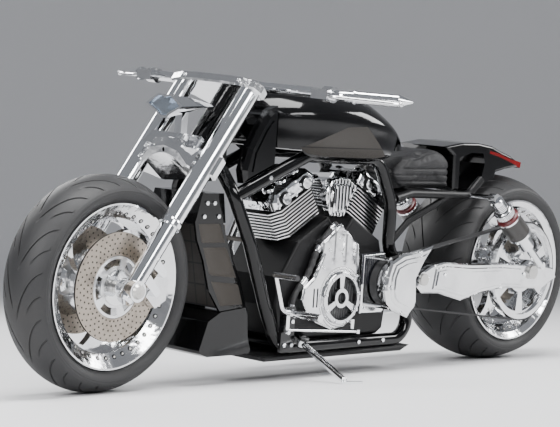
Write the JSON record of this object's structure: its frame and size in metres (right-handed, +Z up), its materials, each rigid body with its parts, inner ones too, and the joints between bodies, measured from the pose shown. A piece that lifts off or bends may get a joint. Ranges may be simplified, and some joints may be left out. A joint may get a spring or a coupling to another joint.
{
  "type": "chopper motorcycle",
  "caption": "Long low custom chopper motorcycle with a finned vee engine, raked fork, drag bars and a fat rear tyre, leaning on its side stand.",
  "frame": {"origin": "on the ground, under the middle of the motorcycle's box", "axes": "+X towards the front wheel, +Y to the rider's left, where it leans, +Z up"},
  "size_m": [2.4428, 1.1782, 1.0016],
  "materials": {
    "black_case": "satin",
    "black_paint": "gloss",
    "cast": "satin",
    "chrome": "mirror",
    "clear_lens": "clear, slightly blue",
    "grey_mesh": "woven mesh",
    "leather": "grained",
    "polished": "polished",
    "red_lens": "gloss",
    "rubber": "matt",
    "steel": "drilled and ground",
    "tyre": "matt tread"
  },
  "bodies": {
    "frame": {"belly_pan": "black_paint", "chin_spoiler": "black_paint", "crankcase": "black_case", "cylinder_front": "polished", "cylinder_rear": "polished", "drive_belt": "rubber", "exhaust": "chrome", "foot_controls": "polished", "frame_main": "black_paint", "front_pulley": "cast", "fuel_tank": "black_paint", "intake_cover": "polished", "neck_panels": "black_paint", "pulley_cover": "polished", "radiator_core": "grey_mesh", "radiator_shroud": "black_paint", "rear_axle": "steel", "rear_caliper": "black_paint", "rocker_cover_front": "polished", "rocker_cover_rear": "polished", "seat": "leather", "seat_frame": "black_paint", "shocks": "chrome", "swingarm": "polished", "tail_fender": "black_paint", "tail_lamp": "red_lens", "tank_panels": "grey_mesh", "timing_cover": "polished", "transmission_case": "polished"},
    "fork": {"fork_legs": "chrome", "lower_clamp": "polished", "upper_clamp": "polished", "handlebar": "chrome", "grips": "chrome", "bar_levers": "polished", "headlamp_shell": "chrome", "headlamp_lens": "clear_lens", "front_axle": "steel", "front_calipers": "polished"},
    "front_wheel": {"front_tyre": "tyre", "front_rim": "polished", "front_discs": "steel"},
    "rear_wheel": {"rear_tyre": "tyre", "rear_rim": "polished", "rear_pulley": "polished", "rear_disc": "steel"},
    "side_stand": {"stand_leg": "chrome"}
  },
  "joints": [
    {"name": "steering", "type": "hinge", "parent": "frame", "child": "fork", "pos_m": [0.56665, -0.01915, 0.67818], "axis": [-0.5948, 0.0807, 0.7998], "range_deg": [-28, 22]},
    {"name": "front_wheel_spin", "type": "hinge", "parent": "fork", "child": "front_wheel", "pos_m": [0.90346, -0.0527, 0.3169], "axis": [-0.0421, 0.9905, -0.1312], "continuous": true},
    {"name": "rear_wheel_spin", "type": "hinge", "parent": "frame", "child": "rear_wheel", "pos_m": [-0.89648, -0.05481, 0.32467], "axis": [0, 0.995, -0.1004], "continuous": true},
    {"name": "side_stand_swing", "type": "hinge", "parent": "frame", "child": "side_stand", "pos_m": [0.21552, 0.10697, 0.11506], "axis": [-0.0072, 0.4635, 0.8861], "range_deg": [0, 80.23]}
  ]
}
